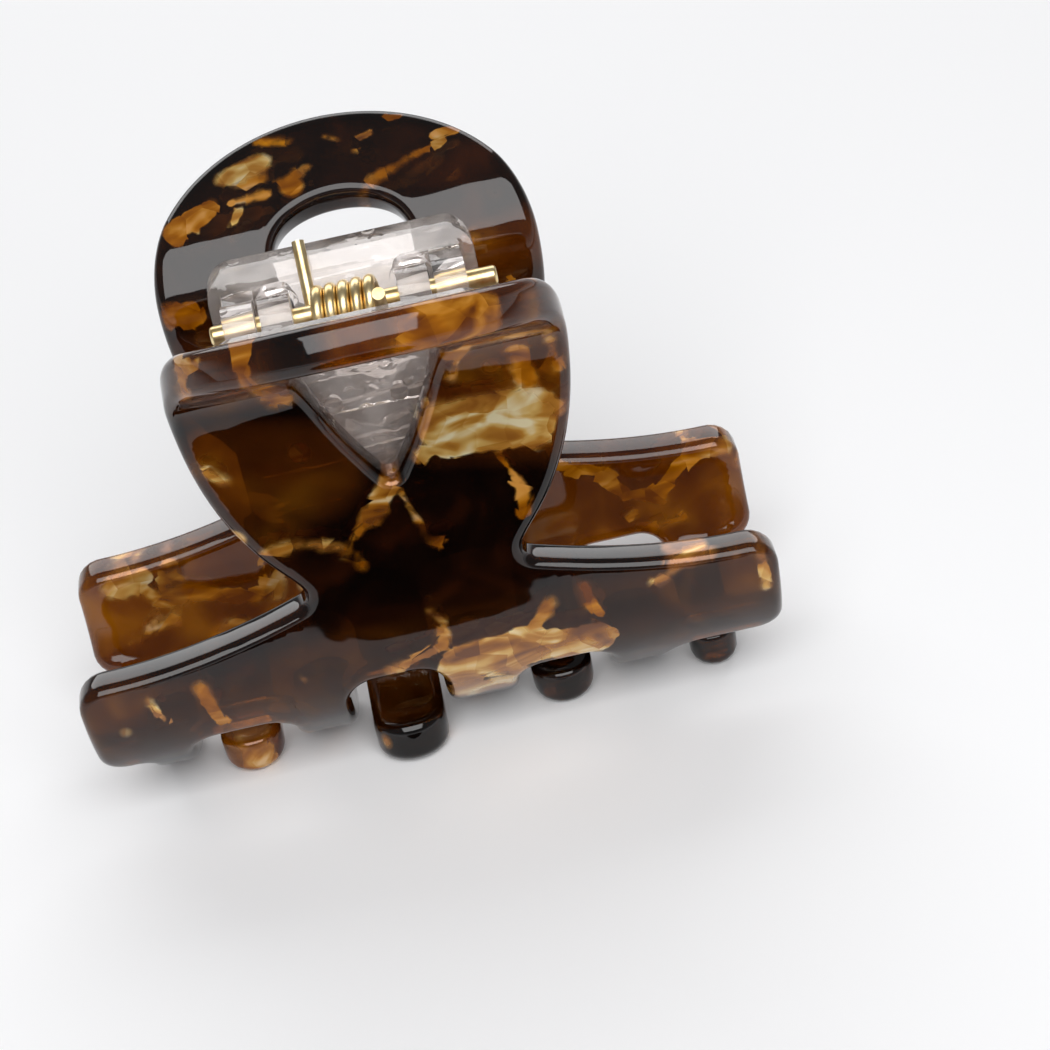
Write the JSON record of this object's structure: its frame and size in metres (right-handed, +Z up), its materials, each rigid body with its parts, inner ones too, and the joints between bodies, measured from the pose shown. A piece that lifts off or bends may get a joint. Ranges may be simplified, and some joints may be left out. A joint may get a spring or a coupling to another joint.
{
  "type": "claw clip",
  "caption": "Closed hair claw clip with interlocking curved teeth, flared finger paddles with teardrop holes, clear hinge plates, and a sprung pin.",
  "frame": {"origin": "middle of the underside of the closed clip, on the plane the tooth tips stand on", "axes": "+X along the toothed bars and the hinge pin, +Y from the front jaw to the rear jaw, +Z up from the teeth to the finger paddles"},
  "size_m": [0.06, 0.0382, 0.0501],
  "materials": {
    "tortoiseshell_acetate": "polished tortoiseshell, dark brown with amber flakes",
    "clear_plastic": "clear glossy moulding",
    "gold_plated_steel": "gold plated"
  },
  "bodies": {
    "rear_side": {"rear_jaw": "tortoiseshell_acetate", "rear_hinge_plate": "clear_plastic", "hinge_pin": "gold_plated_steel", "torsion_spring": "gold_plated_steel"},
    "front_side": {"front_jaw": "tortoiseshell_acetate", "front_hinge_plate": "clear_plastic"}
  },
  "joints": [
    {"name": "jaw_hinge", "type": "hinge", "parent": "rear_side", "child": "front_side", "pos_m": [0, 0, 0.0414], "axis": [-1, 0, 0], "range_deg": [0, 120], "stiffness_Nm_per_rad": 0.2, "springref_deg": -45.84, "deforming": ["torsion_spring"]}
  ]
}
